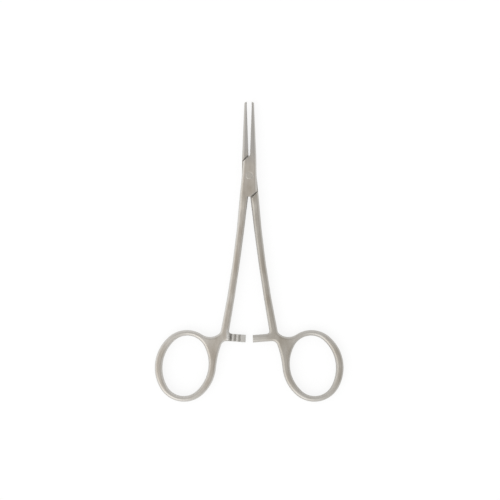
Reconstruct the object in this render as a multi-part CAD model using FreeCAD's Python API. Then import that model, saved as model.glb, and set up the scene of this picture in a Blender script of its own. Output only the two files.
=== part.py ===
import FreeCAD, Part
import math
import os

V = FreeCAD.Vector

# Straight ring-handled artery forceps with a box lock, lying flat.
# +Y points to the jaw tips, +Z up, the pivot axis is the Z axis, the lowest faces are at Z = 0.
# Each half is drawn closed, and is then turned about the pivot to the slightly open rest pose.
# Sizes are in mm and angles in degrees.

# Rest pose: angle between the two jaw faces
rest_opening = 3.8

# Box lock: two cheeks with a slot between them, in which the tongue of the other half turns
box_thickness = 4.4
box_width = 6.1
box_flat_front = 5.0
box_flat_back = 9.9
box_back = 8.6
cheek_slant = 42.0
cheek_back_corner = 1.05
groove_bevel = 0.42
tongue_thickness = 1.7
tongue_play = 0.05
wall_slant = 62.0
shoulder_play = 0.12
pin_diameter = 2.9
pin_play = 0.04
pin_seat_play = 0.01

# Jaws: half-round outside, flat and cross-grooved inside
jaw_reach = 31.0
jaw_root = 8.6
jaw_root_width = 2.65
jaw_root_thickness = 3.9
jaw_root_round = 1.15
jaw_tip_width = 0.95
jaw_tip_thickness = 1.9
jaw_tip_round = 0.75
jaw_nose_radius = 1.2
jaw_face_gap = 0.03
jaw_seat_depth = 1.0
serration_pitch = 0.55
serration_depth = 0.2
serration_land = 0.8

# Shanks: bowed, slimmest at mid length, as thick as ring and ratchet bar
handle_thickness = 3.4
shank_root_gap = 0.18
shank_root_width = 3.45
shank_mid_width = 2.96
shank_neck_width = 3.4
shank_bow = 0.7
shank_runs = 4
bend_radius = 40.0
shank_start = 15.6

# Finger rings: leaning ovals
ring_centre_x = 23.95
ring_centre_y = 80.1
ring_hole_length = 25.5
ring_hole_width = 19.2
ring_side_band = 3.1
ring_end_band = 2.2
ring_tilt = 7.6
oval_fullness = 0.4

# Neck: where shank, ring and ratchet bar meet
neck_inset = 3.3
neck_rise = 0.3
web_angle = 24.0
web_share = 4.6
throat_angle = 86.0
throat_share = 2.8
flare = 1.9
flare_share = 0.8

# Rims: three bevels each that together touch a quarter-round
rim_round = 1.25
rim_limit = 0.47
bevel_turn = 45.0
bevel_turn_spread = 7.0

# Ratchet: one toothed bar on each half, teeth up on one and down on the other
bar_drop = 3.0
bar_heel = 0.8
bar_width = 3.1
bar_overlap = 0.75
bar_land = 2.0
bar_lead = 0.45
bar_play = 0.05
tooth_pitch = 1.9
tooth_depth = 0.8
tooth_face_run = 0.15
tooth_land = 0.7

# Places that follow from the sizes
mid = box_thickness / 2
face_x = jaw_face_gap / 2
ring_length = ring_hole_length + 2 * ring_end_band
ring_width = ring_hole_width + 2 * ring_side_band
ring_end = ring_centre_y + ring_length / 2
neck_x = ring_centre_x - ring_width / 2 - neck_inset
neck_y = ring_centre_y - ring_length / 2 - neck_rise
root_x = shank_root_gap + shank_root_width / 2
bar_radius = neck_y + bar_drop
bar_root = neck_x - shank_neck_width / 2
bar_middle = (bar_root - bar_overlap) / 2
bar_lean = math.asin(bar_middle / bar_radius)
below = -1.0
above = box_thickness + 1.0
centre = V(0, 0, 0)
upward = V(0, 0, 1)
straight_enough = 1e-6


def line(p0, p1):
    return Part.makeLine(p0, p1)


def arc(p0, p1, p2):
    """Circular arc through three points."""
    return Part.Arc(p0, p1, p2).toShape()


def arc_from(p0, heading, p1):
    """Circular arc that leaves p0 along the heading and ends at p1."""
    chord = p1 - p0
    side = heading - chord * (heading.dot(chord) / chord.dot(chord))
    turn = heading.getAngle(chord)
    if turn < straight_enough:
        return line(p0, p1)
    bulge = side.normalize() * (chord.Length / 2 * math.tan(turn / 2))
    return arc(p0, (p0 + p1) / 2 + bulge, p1)


def blend(p0, d0, p1, d1, share=1.0):
    """Two arcs that leave p0 along d0, meet smoothly and arrive at p1 along d1.

    The share says how much longer the tangent of the second arc is.
    """
    chord = p1 - p0
    reach = chord.dot(d0 + d1 * share)
    bend = 2 * share * (1 - d0.dot(d1))
    span = chord.dot(chord) / (reach + math.sqrt(reach ** 2 + bend * chord.dot(chord)))
    near = p0 + d0 * span
    far = p1 - d1 * span * share
    meeting = near + (far - near) / (1 + share)
    return [arc_from(p0, d0, meeting), arc_from(p1, d1 * -1, meeting)]


def bent_path(points):
    """Straight runs through the points, joined by gentle tangent bends."""
    edges = []
    start = points[0]
    for corner, following in zip(points[1:-1], points[2:]):
        ahead = (corner - start).normalize()
        after = (following - corner).normalize()
        pull = bend_radius * math.tan(ahead.getAngle(after) / 2)
        leave = corner - ahead * pull
        rejoin = corner + after * pull
        edges += [line(start, leave), arc_from(leave, ahead, rejoin)]
        start = rejoin
    edges.append(line(start, points[-1]))
    return edges


def start_of(edge):
    return edge.valueAt(edge.FirstParameter)


def end_of(edge):
    return edge.valueAt(edge.LastParameter)


def start_heading(edge):
    return edge.tangentAt(edge.FirstParameter).normalize()


def end_heading(edge):
    return edge.tangentAt(edge.LastParameter).normalize()


def prism(points, z0, z1):
    """Upright prism on a polygon of (x, y) corners."""
    corners = [V(x, y, z0) for x, y in points]
    return Part.Face(Part.makePolygon(corners + corners[:1])).extrude(V(0, 0, z1 - z0))


def turned_over(shape):
    """The shape turned half round about the long axis of the instrument."""
    copy = shape.copy()
    copy.rotate(V(0, 0, mid), V(0, 1, 0), 180)
    return copy


def posed(shape, angle):
    """The shape turned about the pivot."""
    copy = shape.copy()
    copy.rotate(centre, upward, angle)
    return copy


# Plan of the forging

def ring_axes():
    """Long and short direction of the ring oval; the short one points to the other ring."""
    tilt = math.radians(ring_tilt)
    return V(-math.sin(tilt), math.cos(tilt), 0), V(-math.cos(tilt), -math.sin(tilt), 0)


def oval_circles(length, width):
    """Radii of the end and side circles that make up an oval, and the turn at which they meet."""
    ratio = width / length
    end_radius = width / 2 * ratio * (1 + oval_fullness * (1 - ratio))
    end_offset = length / 2 - end_radius
    rest = width / 2 - end_radius
    side_radius = (end_offset ** 2 + (width / 2) ** 2 - end_radius ** 2) / (2 * rest)
    return end_radius, side_radius, math.atan2(side_radius - width / 2, end_offset)


def ring_point(length, width, turn):
    """Point of a ring oval where its outward normal has turned that far from the ring's top."""
    along, across = ring_axes()
    end_radius, side_radius, meeting = oval_circles(length, width)
    normal = along * math.cos(turn) + across * math.sin(turn)
    if abs(math.sin(turn)) < math.sin(meeting):
        radius = end_radius
        offset = along * math.copysign(length / 2 - end_radius, math.cos(turn))
    else:
        radius = side_radius
        offset = across * math.copysign(side_radius - width / 2, -math.sin(turn))
    return V(ring_centre_x, -ring_centre_y, 0) + offset + normal * radius


def ring_heading(turn):
    """Direction along a ring oval at the given turn, towards larger turns."""
    along, across = ring_axes()
    return across * math.cos(turn) - along * math.sin(turn)


def ring_arcs(length, width, start, stop):
    """Arcs of a ring oval from one turn to another."""
    half_turn = math.pi
    meeting = oval_circles(length, width)[2]
    turns = [start]
    for side in range(1, 5):
        turns += [t for t in (side * half_turn - meeting, side * half_turn + meeting) if start < t < stop]
    turns.append(stop)
    return [arc(ring_point(length, width, first), ring_point(length, width, (first + last) / 2),
                ring_point(length, width, last)) for first, last in zip(turns, turns[1:])]


def shank_points(side):
    """Points along a long edge of the right shank, from box to neck; side is 1 outside, -1 inside."""
    slimming = (shank_root_width + shank_neck_width) / 2 - shank_mid_width
    points = []
    for index in range(shank_runs + 1):
        share = index / shank_runs
        bow = 4 * share * (1 - share)
        x = root_x + (neck_x - root_x) * share - shank_bow * bow
        width = shank_root_width + (shank_neck_width - shank_root_width) * share - slimming * bow
        points.append(V(x + side * width / 2, -box_back - (neck_y - box_back) * share, 0))
    return points


def bar_point(side, x):
    """Point on a long edge of the ratchet bar; side is 1 towards the jaws and -1 away from them."""
    middle_y = -math.sqrt(bar_radius ** 2 - bar_middle ** 2)
    half_width = bar_width / 2 / math.cos(bar_lean)
    return V(x, middle_y + (x - bar_middle) * math.tan(bar_lean) + side * half_width, 0)


def forging_plan():
    """Closed plan of box, right shank, ratchet bar and ring, before jaw and finger hole are made."""
    jaw_corner = V(jaw_root_width, jaw_root, 0)
    box_side = V(box_width / 2, 0, 0)
    outside = shank_points(1)
    inside = shank_points(-1)
    side = bent_path([jaw_corner, box_side] + outside)
    inner = bent_path(inside)
    far_side = [edge.mirror(centre, V(1, 0, 0)) for edge in bent_path([jaw_corner, box_side, outside[0]])]

    web_turn = math.radians(web_angle)
    throat_turn = math.radians(throat_angle)
    web = blend(end_of(side[-1]), end_heading(side[-1]), ring_point(ring_length, ring_width, web_turn),
                ring_heading(web_turn) * -1, web_share)
    rim = ring_arcs(ring_length, ring_width, throat_turn, web_turn + 2 * math.pi)

    tip_x = -bar_overlap - bar_land
    bar_top = line(bar_point(1, bar_root - flare), bar_point(1, tip_x))
    bar_bottom = line(bar_point(-1, tip_x), bar_point(-1, bar_root + bar_heel))
    bar_end = line(end_of(bar_top), start_of(bar_bottom))
    neck_flare = blend(end_of(inner[-1]), end_heading(inner[-1]), start_of(bar_top),
                       start_heading(bar_top), flare_share)
    throat = blend(end_of(bar_bottom), end_heading(bar_bottom),
                   ring_point(ring_length, ring_width, throat_turn), ring_heading(throat_turn),
                   throat_share)

    top = line(V(-jaw_root_width, jaw_root, 0), jaw_corner)
    bottom = line(V(-outside[0].x, -box_back, 0), inside[0])
    edges = [bar_bottom, bar_end, bar_top, bottom, top]
    edges += side + web + rim + throat + neck_flare + inner + far_side
    face = Part.Face(Part.Wire(Part.sortEdges(edges)[0]))
    face.validate()
    return face


def finger_hole():
    """Outline of the finger hole."""
    return Part.Wire(ring_arcs(ring_hole_length, ring_hole_width, math.pi / 2, 5 * math.pi / 2))


def thickness_profile():
    """Side view of box, shank and ring as a solid that trims the plan to its thickness."""
    jaw_fall = (jaw_root_thickness - jaw_tip_thickness) / 2 / (jaw_reach - jaw_root)
    back = V(0, -1, 0)
    front_point = V(0, jaw_root, mid + jaw_root_thickness / 2)
    flat_front = V(0, box_flat_front, box_thickness)
    flat_back = V(0, -box_flat_back, box_thickness)
    level = V(0, -shank_start, mid + handle_thickness / 2)
    ring_stop = V(0, -ring_end - ring_side_band, level.z)
    upper = blend(front_point, V(0, -1, jaw_fall).normalize(), flat_front, back)
    upper.append(line(flat_front, flat_back))
    upper += blend(flat_back, back, level, back)
    upper.append(line(level, ring_stop))
    lower = [edge.mirror(V(0, 0, mid), upward) for edge in upper]
    ends = [line(front_point, V(0, jaw_root, mid - jaw_root_thickness / 2)),
            line(ring_stop, ring_stop - V(0, 0, handle_thickness))]
    face = Part.Face(Part.Wire(Part.sortEdges(upper + lower + ends)[0]))
    reach = ring_centre_x + ring_width
    face.translate(V(-reach, 0, 0))
    return face.extrude(V(2 * reach, 0, 0))


def rim_edges(solid):
    """Upper and lower plan edges of the forging, without its square ends and the cross seams."""
    picked = []
    for edge in solid.Edges:
        square = isinstance(edge.Curve, Part.Line) and min(
            abs(edge.Curve.Direction.x), abs(edge.Curve.Direction.y)) < straight_enough
        if abs(edge.CenterOfMass.z - mid) > handle_thickness / 4 and not square:
            picked.append(edge)
    return picked


def bevel_edges(solid):
    """Edges along the bevels, where two faces meet at about half a right angle."""
    picked = []
    for edge in solid.Edges:
        middle = edge.valueAt((edge.FirstParameter + edge.LastParameter) / 2)
        normals = [face.normalAt(*face.Surface.parameter(middle))
                   for face in solid.ancestorsOfType(edge, Part.Face)]
        turn = math.degrees(normals[0].getAngle(normals[-1]))
        if abs(turn - bevel_turn) < bevel_turn_spread:
            picked.append(edge)
    return picked


def round_rims(body):
    """Rounds the rims by a wide bevel and then two narrow ones along its edges."""
    half_turn = math.radians(bevel_turn / 2)
    wide = 2 - math.sqrt(2)
    narrow = (1 / math.cos(half_turn) - 1) / math.sin(half_turn)
    slimmest = min(ring_end_band, ring_side_band, shank_mid_width, handle_thickness, bar_width)
    radius = min(rim_round, rim_limit * slimmest / (wide + narrow))
    body = body.makeChamfer(wide * radius, rim_edges(body))
    return body.makeChamfer(narrow * radius, bevel_edges(body))


def handle():
    """Box, right shank, ratchet bar and finger ring of one forging, with rounded rims."""
    slab = forging_plan().extrude(V(0, 0, box_thickness))
    blank = slab.common(thickness_profile())
    hole = Part.Face(finger_hole()).extrude(V(0, 0, box_thickness))
    return round_rims(blank.cut(hole).Solids[0]).cut(ratchet_cutter()).cut(bar_trim())


# Ratchet

def ratchet_cutter():
    """Takes away the lower half of the bar and leaves sawteeth that point down."""
    crest = mid + bar_play
    root = crest + tooth_depth
    first = bar_land - bar_overlap
    ramp = tooth_pitch - tooth_face_run - tooth_land
    count = 1 + int((bar_root - first - tooth_face_run) / tooth_pitch)
    tip = -bar_overlap
    outside = tip - bar_land
    points = [(outside, below), (outside, crest + bar_lead), (tip, crest + bar_lead)]
    for index in range(count):
        steep = first + index * tooth_pitch
        ramp_start = steep + tooth_face_run
        ramp_end = min(ramp_start + ramp, bar_root)
        points += [(steep, crest), (ramp_start, root),
                   (ramp_end, root - tooth_depth * (ramp_end - ramp_start) / ramp)]
    if ramp_end < bar_root:
        points.append((bar_root, crest))
    points.append((bar_root, below))
    front = bar_radius + bar_width
    corners = [V(x, -front, z) for x, z in points]
    face = Part.Face(Part.makePolygon(corners + corners[:1]))
    cutter = face.extrude(V(0, 2 * bar_width, 0))
    cutter.rotate(centre, upward, math.degrees(bar_lean))
    cutter.translate(V(-bar_middle, 0, 0))
    return cutter


def bar_trim():
    """Cuts the ratchet bar to length."""
    near = -bar_radius + bar_width
    far = -bar_radius - bar_width
    tip = -bar_overlap
    return prism([(tip - 2 * bar_land, far), (tip, far), (tip, near), (tip - 2 * bar_land, near)],
                 below, above)


# Jaws

def jaw_section(y, width, thickness, corner):
    """Half-round section of the right jaw; its flat side reaches a little past the jaw faces."""
    hidden = -jaw_root_width / 4
    top = mid + thickness / 2
    bottom = mid - thickness / 2
    outward = V(1, 0, 0)
    return Part.Wire([line(V(hidden, y, top), V(width - corner, y, top)),
                      arc_from(V(width - corner, y, top), outward, V(width, y, top - corner)),
                      line(V(width, y, top - corner), V(width, y, bottom + corner)),
                      arc_from(V(width, y, bottom + corner), upward * -1, V(width - corner, y, bottom)),
                      line(V(width - corner, y, bottom), V(hidden, y, bottom)),
                      line(V(hidden, y, bottom), V(hidden, y, top))])


def jaw_nose():
    """Round nose that the closed jaws share at the tip, as a body of revolution."""
    shoulder = V(-jaw_nose_radius, jaw_reach - jaw_nose_radius, 0)
    apex = V(0, jaw_reach, 0)
    girth = V(-box_thickness, jaw_root, 0)
    corner = V(-box_thickness, 0, 0)
    outline = [line(centre, apex), arc_from(apex, V(-1, 0, 0), shoulder), line(shoulder, girth),
               line(girth, corner), line(corner, centre)]
    nose = Part.Face(Part.Wire(outline)).revolve(centre, V(0, 1, 0), 360)
    nose.translate(V(0, 0, mid))
    return nose


def serration_comb(phase):
    """Cutter for the fine cross grooves of a jaw face, shifted by a share of their pitch."""
    start = jaw_root + serration_land + phase * serration_pitch
    count = int((jaw_reach - serration_land - start) / serration_pitch)
    outside = -jaw_root_width
    points = [(outside, start)]
    for index in range(count):
        y = start + index * serration_pitch
        points.append((face_x, y))
        points.append((face_x + serration_depth, y + serration_pitch / 2))
    end = start + count * serration_pitch
    points += [(face_x, end), (outside, end)]
    return prism(points, below, above)


def jaw(phase):
    """Right jaw: tapered, with a round nose and cross grooves, rooted in the box."""
    taper = (jaw_root_width - jaw_tip_width) / (jaw_reach - jaw_root)
    root_width = jaw_root_width + taper * jaw_seat_depth - jaw_face_gap
    root = jaw_section(jaw_root - jaw_seat_depth, root_width,
                       jaw_root_thickness - jaw_face_gap, jaw_root_round)
    tip = jaw_section(jaw_reach, jaw_tip_width, jaw_tip_thickness, jaw_tip_round)
    body = Part.makeLoft([root, tip], True, True).common(jaw_nose())
    return body.cut(serration_comb(phase))


# Box lock

def slant_y(x, reach):
    """Height where the slanted line at the given reach from the pivot crosses x."""
    angle = math.radians(cheek_slant)
    return (reach + math.sin(angle) * x) / math.cos(angle)


def wall_y(x, reach):
    """Height where the tongue wall at the given reach from the pivot crosses x."""
    angle = math.radians(wall_slant)
    return (reach - math.sin(angle) * x) / math.cos(angle)


def cheek_reaches():
    """Distances from the pivot to the slanted front and back ends of the cheeks."""
    angle = math.radians(cheek_slant)
    front = jaw_root * math.cos(angle)
    back = box_back * math.cos(angle) + cheek_back_corner * math.sin(angle)
    return front, back


def wall_reaches():
    """Distances from the pivot to the front and back walls beside the tongue."""
    angle = math.radians(wall_slant)
    front = jaw_root * math.cos(angle)
    back = box_back * math.cos(angle) + shank_root_gap * math.sin(angle)
    return front, back


def slant_bevel(reach, turn, side):
    """Bevel cutter on the upper edge of a slanted end; turn is 0 in front and 180 behind.

    Side is 1 where the metal lies between the slanted ends and -1 where it lies beyond them.
    """
    top = box_thickness
    inner = reach - side * groove_bevel
    outer = reach + side * groove_bevel
    corners = [V(0, inner, top), V(0, outer, top - 2 * groove_bevel),
               V(0, outer, top + groove_bevel), V(0, inner, top + groove_bevel)]
    face = Part.Face(Part.makePolygon(corners + corners[:1]))
    face.translate(V(-box_width, 0, 0))
    return posed(face.extrude(V(2 * box_width, 0, 0)), cheek_slant + turn)


def pin_hole(play):
    return Part.makeCylinder(pin_diameter / 2 + play, above - below, V(0, 0, below))


def box_half():
    """Half with the box: right jaw, cheeks, left shank, ratchet bar and ring."""
    front, back = cheek_reaches()
    wall_front, wall_back = wall_reaches()
    wide = 2 * box_width
    tip = jaw_reach + box_width
    beyond_front = prism([(face_x, tip), (face_x, slant_y(face_x, front)),
                          (-box_width, slant_y(-box_width, front)), (-box_width, tip)], below, above)
    corner_y = slant_y(0, -back)
    beyond_back = prism([(wide, slant_y(wide, -back)), (0, corner_y), (0, corner_y - wide),
                         (wide, corner_y - wide)], below, above)
    low_y = wall_y(0, -wall_back)
    slot_half = tongue_thickness / 2 + tongue_play
    slot = prism([(face_x, wall_y(face_x, wall_front)), (wide, wall_y(wide, wall_front)),
                  (wide, low_y), (0, low_y), (-wide, wall_y(-wide, -wall_back)),
                  (-wide, tip), (face_x, tip)], mid - slot_half, mid + slot_half)
    body = turned_over(handle()).fuse(jaw(0)).cut(beyond_front).cut(beyond_back).cut(slot)
    for bevel in (slant_bevel(front, 0, 1), slant_bevel(back, 180, 1)):
        over_cheek = bevel.cut(prism([(face_x, -box_back / 2), (wide, -box_back / 2),
                                      (wide, tip), (face_x, tip)], below, above))
        body = body.cut(over_cheek).cut(over_cheek.mirror(V(0, 0, mid), upward))
    return body.cut(pin_hole(pin_seat_play))


def male_half():
    """Half with the tongue: left jaw, right shank, ratchet bar and ring."""
    front, back = cheek_reaches()
    wall_front, wall_back = wall_reaches()
    wall_front -= shoulder_play
    wall_back -= shoulder_play
    front += shoulder_play
    back += shoulder_play
    wide = 2 * box_width
    tip = jaw_reach + box_width
    beside_front = prism([(-face_x, tip), (-face_x, wall_y(-face_x, wall_front)),
                          (wide, wall_y(wide, wall_front)), (wide, tip)], below, above)
    low_y = wall_y(0, -wall_back)
    beside_back = prism([(0, low_y), (-wide, wall_y(-wide, -wall_back)), (-wide, low_y - wide),
                         (0, low_y - wide)], below, above)
    cheek_band = [(-wide, slant_y(-wide, front)), (wide, slant_y(wide, front)),
                  (wide, slant_y(wide, -back)), (-wide, slant_y(-wide, -back))]
    tongue_half = tongue_thickness / 2
    body = handle().fuse(turned_over(jaw(0.5))).cut(beside_front).cut(beside_back)
    body = body.cut(prism(cheek_band, mid + tongue_half, above))
    body = body.cut(prism(cheek_band, below, mid - tongue_half))
    for bevel in (slant_bevel(front, 0, -1), slant_bevel(back, 180, -1)):
        body = body.cut(bevel).cut(bevel.mirror(V(0, 0, mid), upward))
    return body.cut(pin_hole(pin_play))


def pivot_pin():
    """Pin that is riveted flush with both cheeks."""
    return Part.makeCylinder(pin_diameter / 2, box_thickness)


def write(name, shape):
    solid = shape.Solids[0]
    print(name, "solids", len(shape.Solids), "valid", solid.isValid(),
          "volume", round(solid.Volume, 2), "faces", len(solid.Faces))
    solid.exportStep("parts/" + name + ".step")


os.makedirs("parts", exist_ok=True)
write("box_half", posed(box_half(), -rest_opening / 2))
write("male_half", posed(male_half(), rest_opening / 2))
write("pivot_pin", pivot_pin())
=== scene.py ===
import bpy
import math
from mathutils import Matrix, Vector

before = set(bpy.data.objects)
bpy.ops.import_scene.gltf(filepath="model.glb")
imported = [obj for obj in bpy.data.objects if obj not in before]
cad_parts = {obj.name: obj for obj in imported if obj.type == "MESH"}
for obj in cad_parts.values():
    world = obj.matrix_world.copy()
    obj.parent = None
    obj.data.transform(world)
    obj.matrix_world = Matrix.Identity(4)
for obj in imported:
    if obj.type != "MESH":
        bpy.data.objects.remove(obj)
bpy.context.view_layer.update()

# Lengths are in metres and tones in sRGB 0..1, unless a name says otherwise.

# Camera: straight above, FIELD of the floor across the square picture
FOCAL_MM = 100.0
SENSOR_MM = 36.0
FIELD = 0.20875
AIM = Vector((0.00033, -0.0309, 0.0022))

# Floor, world and lamps. A lamp is (name, direction it shines from, strength, spread in degrees).
FLOOR_SIZE = 4.0
FLOOR_DROP = 0.00002
FLOOR_GRAIN = 900.0
FLOOR_WHITES = (0.88, 0.92)
FLOOR_BACKGROUND_SHARE = 0.83
WORLD_STRENGTH = 0.95
BACKGROUND_STRENGTH = 1.0
WHITE = (1.0, 1.0, 1.0, 1.0)
LAMPS = (("key", (-0.45, -0.6, 0.7), 1.05, 58.0),
         ("side", (-0.8, 0.1, 0.4), 0.35, 50.0))

# Steel of each solid: material, warm tone, cool tone, painted rim highlight tone, roughness
TONE_RIM_HIGHLIGHT = (0.790, 0.779, 0.761)
TONE_RIM_HIGHLIGHT_SHADED = (0.745, 0.733, 0.712)
STEELS = {
    "box_half": ("satin_steel", (0.603, 0.574, 0.534), (0.678, 0.658, 0.628), TONE_RIM_HIGHLIGHT, 0.44),
    # The male half has a darker copy of the same steel: painted shade, since its side is the less
    # lit one
    "male_half": ("satin_steel_painted_shade", (0.571, 0.545, 0.506), (0.635, 0.619, 0.590),
                  TONE_RIM_HIGHLIGHT_SHADED, 0.44),
    "pivot_pin": ("pin_steel", (0.625, 0.602, 0.566), (0.668, 0.652, 0.624), TONE_RIM_HIGHLIGHT, 0.42),
}
TONE_JAW = (0.625, 0.612, 0.595)
# Painted highlight tone, at the ring ends and on the bars
TONE_PAINTED_HIGHLIGHT = (0.745, 0.738, 0.722)
# Painted shade tone, in recesses
TONE_RECESS_SHADE = (0.270, 0.255, 0.235)

# Where tones change, in the rest pose. Each pair is (nothing yet, full) along one direction.
JAW_Y = (0.004, 0.012)
RING_Y = -0.0793
RING_END_FROM_MIDDLE = (0.006, 0.0135)
RING_END_ASIDE = (0.014, 0.019)
BAR_Y = (-0.0635, -0.0645)
TEETH_OUTER_X = (-0.0098, -0.0092)
TEETH_INNER_X = (0.0005, 0.0)
PLAIN_BAR_INNER_X = (0.0, 0.0005)
PLAIN_BAR_OUTER_X = (0.0085, 0.002)

# How much of the painted highlight tone, at the ring ends, teeth, plain bar and rims, shows there
RING_END_HIGHLIGHT = 0.5
TEETH_HIGHLIGHT = 0.85
PLAIN_BAR_HIGHLIGHT = 0.5
RIM_HIGHLIGHT = 0.85
WALL_HIGHLIGHT_SHARE = 0.3

# Upward part of the surface's normal: 1 on flat faces and 0 on walls. The painted rim highlight
# starts at the first pair's first value and is full at its second. The second pair lowers it on
# walls.
RIM_NORMAL_Z = (0.95, 0.7)
WALL_NORMAL_Z = (0.0, 0.3)

# Detail of the surface. The stretches are the scales of a noise along x, y and z.
CLOUD_STRETCH = (260.0, 85.0, 200.0)
BRUSHING_STRETCH = (9000.0, 420.0, 9000.0)
SPECK_SCALE = 2600.0
GRAIN_SCALE = 7500.0
CLOUD_CONTRAST = (0.35, 0.65)
FINE_CONTRAST = (0.3, 0.7)
SPECK_BRIGHTNESS = (0.955, 1.04)
GLOSS_CONTRAST = (0.7, 1.3)
GLOSS_SPREAD = (-0.05, 0.06)
GRAIN_SHARE = 0.6
BRUSHING_SHARE = 0.4
BUMP_STRENGTH = 0.32
BUMP_HEIGHT = 0.00003
EDGE_RADIUS = 0.00035
# Painted shade in recesses: how far the occlusion looks, the openness where it starts and is full,
# and how much shows
RECESS_REACH = 0.0008
RECESS_OPENNESS = (0.75, 0.25)
RECESS_SHADE_STRENGTH = 0.12
NODE_SAMPLES = 8


def linear(tone):
    """Linear colour with alpha from an sRGB tone."""
    return tuple(c / 12.92 if c <= 0.04045 else ((c + 0.055) / 1.055) ** 2.4
                 for c in tone) + (1.0,)


class Tree:
    """Short way to add nodes to a material or world."""

    def __init__(self, owner):
        owner.use_nodes = True
        self.tree = owner.node_tree
        self.tree.nodes.clear()

    def add(self, kind, inputs=None, **settings):
        """New node. An input is a number or colour, or the socket of another node."""
        node = self.tree.nodes.new(kind)
        for name, value in settings.items():
            setattr(node, name, value)
        for name, value in (inputs or {}).items():
            socket = node.inputs[name]
            if isinstance(value, bpy.types.NodeSocket):
                self.tree.links.new(value, socket)
            else:
                socket.default_value = value
        return node

    def math(self, operation, a, b, clamp=False):
        node = self.add("ShaderNodeMath", {0: a, 1: b}, operation=operation, use_clamp=clamp)
        return node.outputs[0]

    def absolute(self, value):
        return self.add("ShaderNodeMath", {0: value}, operation="ABSOLUTE").outputs[0]

    def product(self, first, *others):
        for factor in others:
            first = self.math("MULTIPLY", first, factor)
        return first

    def ramp(self, value, limits, levels=(0.0, 1.0)):
        """The levels at the two limits, straight between them and constant beyond."""
        return self.add("ShaderNodeMapRange", {"Value": value,
                                               "From Min": limits[0], "From Max": limits[1],
                                               "To Min": levels[0], "To Max": levels[1]}).outputs[0]

    def mix(self, factor, a, b):
        return self.add("ShaderNodeMix", {0: factor, 6: a, 7: b}, data_type="RGBA").outputs[2]

    def vector(self, operation, inputs):
        return self.add("ShaderNodeVectorMath", inputs, operation=operation).outputs[0]

    def noise(self, where, scale=1.0, detail=3.0, roughness=0.55):
        return self.add("ShaderNodeTexNoise", {"Vector": where, "Scale": scale, "Detail": detail,
                                               "Roughness": roughness}).outputs[0]


def background_share(tree):
    """1 for the rays that show the white background: seen directly, mirrored or through glass."""
    path = tree.add("ShaderNodeLightPath")
    share = tree.math("ADD", path.outputs["Is Camera Ray"], path.outputs["Is Glossy Ray"])
    return tree.math("ADD", share, path.outputs["Is Transmission Ray"], clamp=True)


def painted_highlight_places(tree, x, y):
    """Masks of the toothed bar, and of the places where a highlight is painted as a lighter tone.
    """
    from_middle = tree.absolute(tree.math("SUBTRACT", y, RING_Y))
    ring_end = tree.product(tree.ramp(from_middle, RING_END_FROM_MIDDLE),
                            tree.ramp(tree.absolute(x), RING_END_ASIDE), RING_END_HIGHLIGHT)
    bar = tree.ramp(y, BAR_Y)
    teeth = tree.product(bar, tree.ramp(x, TEETH_OUTER_X), tree.ramp(x, TEETH_INNER_X))
    plain_bar = tree.product(bar, tree.ramp(x, PLAIN_BAR_INNER_X),
                             tree.ramp(x, PLAIN_BAR_OUTER_X), PLAIN_BAR_HIGHLIGHT)
    bars = tree.math("MAXIMUM", tree.product(teeth, TEETH_HIGHLIGHT), plain_bar)
    return teeth, tree.math("MAXIMUM", ring_end, bars)


def rim_highlight_places(tree, normal):
    """Mask of the rounded rims, where a highlight is painted, with a share of it on the upright
    walls.
    """
    local = tree.add("ShaderNodeVectorTransform", {"Vector": normal}, vector_type="NORMAL",
                     convert_from="WORLD", convert_to="OBJECT").outputs[0]
    height = tree.absolute(tree.add("ShaderNodeSeparateXYZ", {0: local}).outputs["Z"])
    return tree.product(tree.ramp(height, RIM_NORMAL_Z, (0.0, RIM_HIGHLIGHT)),
                        tree.ramp(height, WALL_NORMAL_Z, (WALL_HIGHLIGHT_SHARE, 1.0)))


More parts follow.
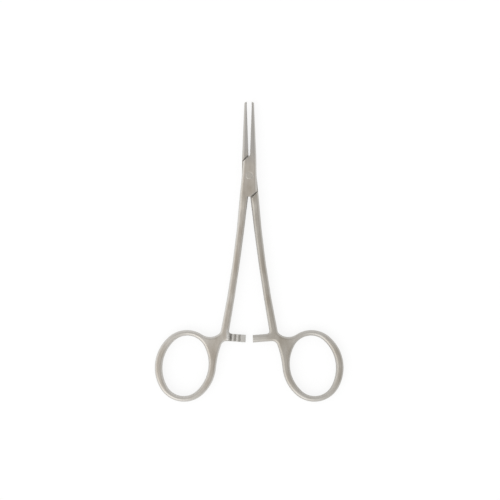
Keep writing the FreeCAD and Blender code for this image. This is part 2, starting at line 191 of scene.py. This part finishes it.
def satin_steel(name, warm, cool, rim_highlight_tone, roughness):
    """Satin steel: lengthwise clouds, specks, fine grain and brushing, painted highlights on ring
    ends, bars and rims, painted shade in recesses.
    """
    material = bpy.data.materials.new(name)
    tree = Tree(material)
    place = tree.add("ShaderNodeTexCoord").outputs["Object"]
    parts = tree.add("ShaderNodeSeparateXYZ", {0: place})
    soft_edge = tree.add("ShaderNodeBevel", {"Radius": EDGE_RADIUS},
                         samples=NODE_SAMPLES).outputs[0]

    cloud = tree.noise(tree.vector("MULTIPLY", {0: place, 1: CLOUD_STRETCH}), detail=4.0)
    speck = tree.noise(place, SPECK_SCALE, detail=2.0)
    brushing = tree.noise(tree.vector("MULTIPLY", {0: place, 1: BRUSHING_STRETCH}))
    grain = tree.noise(place, GRAIN_SCALE, detail=2.0, roughness=0.6)

    teeth, painted_highlight = painted_highlight_places(tree, parts.outputs["X"], parts.outputs["Y"])
    # Painted highlight: a lighter tone on the rounded rims, everywhere but the teeth
    rim_highlight_mask = tree.product(rim_highlight_places(tree, soft_edge), tree.math("SUBTRACT", 1.0, teeth))
    # Painted shade: a darker tone mixed in where ambient occlusion finds grooves, slots and seams
    openness = tree.add("ShaderNodeAmbientOcclusion", {"Distance": RECESS_REACH},
                        samples=NODE_SAMPLES).outputs["AO"]
    recess_shade = tree.ramp(openness, RECESS_OPENNESS)

    tone = tree.mix(tree.ramp(cloud, CLOUD_CONTRAST), linear(warm), linear(cool))
    tone = tree.mix(tree.ramp(parts.outputs["Y"], JAW_Y), tone, linear(TONE_JAW))
    # Painted highlight: a lighter tone at the ring ends and on the bars
    tone = tree.mix(painted_highlight, tone, linear(TONE_PAINTED_HIGHLIGHT))
    # Painted rim highlight
    tone = tree.mix(rim_highlight_mask, tone, linear(rim_highlight_tone))
    tone = tree.vector("SCALE", {0: tone, 3: tree.ramp(speck, FINE_CONTRAST, SPECK_BRIGHTNESS)})
    # Painted shade in recesses
    tone = tree.mix(tree.product(recess_shade, RECESS_SHADE_STRENGTH), tone, linear(TONE_RECESS_SHADE))

    gloss = tree.ramp(tree.math("ADD", cloud, speck), GLOSS_CONTRAST,
                      (roughness + GLOSS_SPREAD[0], roughness + GLOSS_SPREAD[1]))
    height = tree.math("ADD", tree.product(grain, GRAIN_SHARE),
                       tree.product(brushing, BRUSHING_SHARE))
    bump = tree.add("ShaderNodeBump", {"Strength": BUMP_STRENGTH, "Distance": BUMP_HEIGHT,
                                       "Height": height, "Normal": soft_edge}).outputs[0]
    shader = tree.add("ShaderNodeBsdfPrincipled", {"Base Color": tone, "Metallic": 1.0,
                                                   "Roughness": gloss, "Normal": bump})
    tree.add("ShaderNodeOutputMaterial", {"Surface": shader.outputs[0]})
    return material


for node, steel in STEELS.items():
    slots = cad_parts[node].data.materials
    slots.clear()
    slots.append(satin_steel(*steel))


def link(name, data):
    """New object with this data in the scene."""
    thing = bpy.data.objects.new(name, data)
    bpy.context.scene.collection.objects.link(thing)
    return thing


def white_table():
    """Matt white paper that shows as white, and keeps a soft share of the shadow."""
    material = bpy.data.materials.new("white_table")
    tree = Tree(material)
    place = tree.add("ShaderNodeTexCoord").outputs["Object"]
    paper = tree.ramp(tree.noise(place, FLOOR_GRAIN), FINE_CONTRAST, FLOOR_WHITES)
    lit = tree.add("ShaderNodeBsdfDiffuse", {"Color": paper})
    glow = tree.add("ShaderNodeEmission", {"Color": WHITE, "Strength": BACKGROUND_STRENGTH})
    share = tree.product(background_share(tree), FLOOR_BACKGROUND_SHARE)
    mixed = tree.add("ShaderNodeMixShader", {0: share, 1: lit.outputs[0], 2: glow.outputs[0]})
    tree.add("ShaderNodeOutputMaterial", {"Surface": mixed.outputs[0]})
    material.cycles.emission_sampling = "NONE"
    return material


half = FLOOR_SIZE / 2
floor_mesh = bpy.data.meshes.new("floor")
floor_mesh.from_pydata([(-half, -half, 0), (half, -half, 0), (half, half, 0), (-half, half, 0)],
                       [], [(0, 1, 2, 3)])
floor_mesh.materials.append(white_table())
floor = link("floor", floor_mesh)
floor.location = (AIM.x, AIM.y, -FLOOR_DROP)

world = bpy.data.worlds.new("studio")
bpy.context.scene.world = world
sky = Tree(world)
level = sky.ramp(background_share(sky), (0.0, 1.0), (WORLD_STRENGTH, BACKGROUND_STRENGTH))
light = sky.add("ShaderNodeBackground", {"Color": WHITE, "Strength": level})
sky.add("ShaderNodeOutputWorld", {"Surface": light.outputs[0]})
world.cycles.sampling_method = "NONE"

for name, away, strength, spread in LAMPS:
    lamp_data = bpy.data.lights.new(name, "SUN")
    lamp_data.energy = strength
    lamp_data.angle = math.radians(spread)
    lamp = link(name, lamp_data)
    lamp.rotation_mode = "QUATERNION"
    lamp.rotation_quaternion = (-Vector(away)).to_track_quat("-Z", "Y")

camera_data = bpy.data.cameras.new("camera")
camera_data.type = "PERSP"
camera_data.sensor_width = SENSOR_MM
camera_data.lens = FOCAL_MM
camera = link("camera", camera_data)
camera.location = AIM + Vector((0, 0, FIELD * FOCAL_MM / SENSOR_MM))
bpy.context.scene.camera = camera
bpy.context.scene.view_settings.view_transform = "Standard"
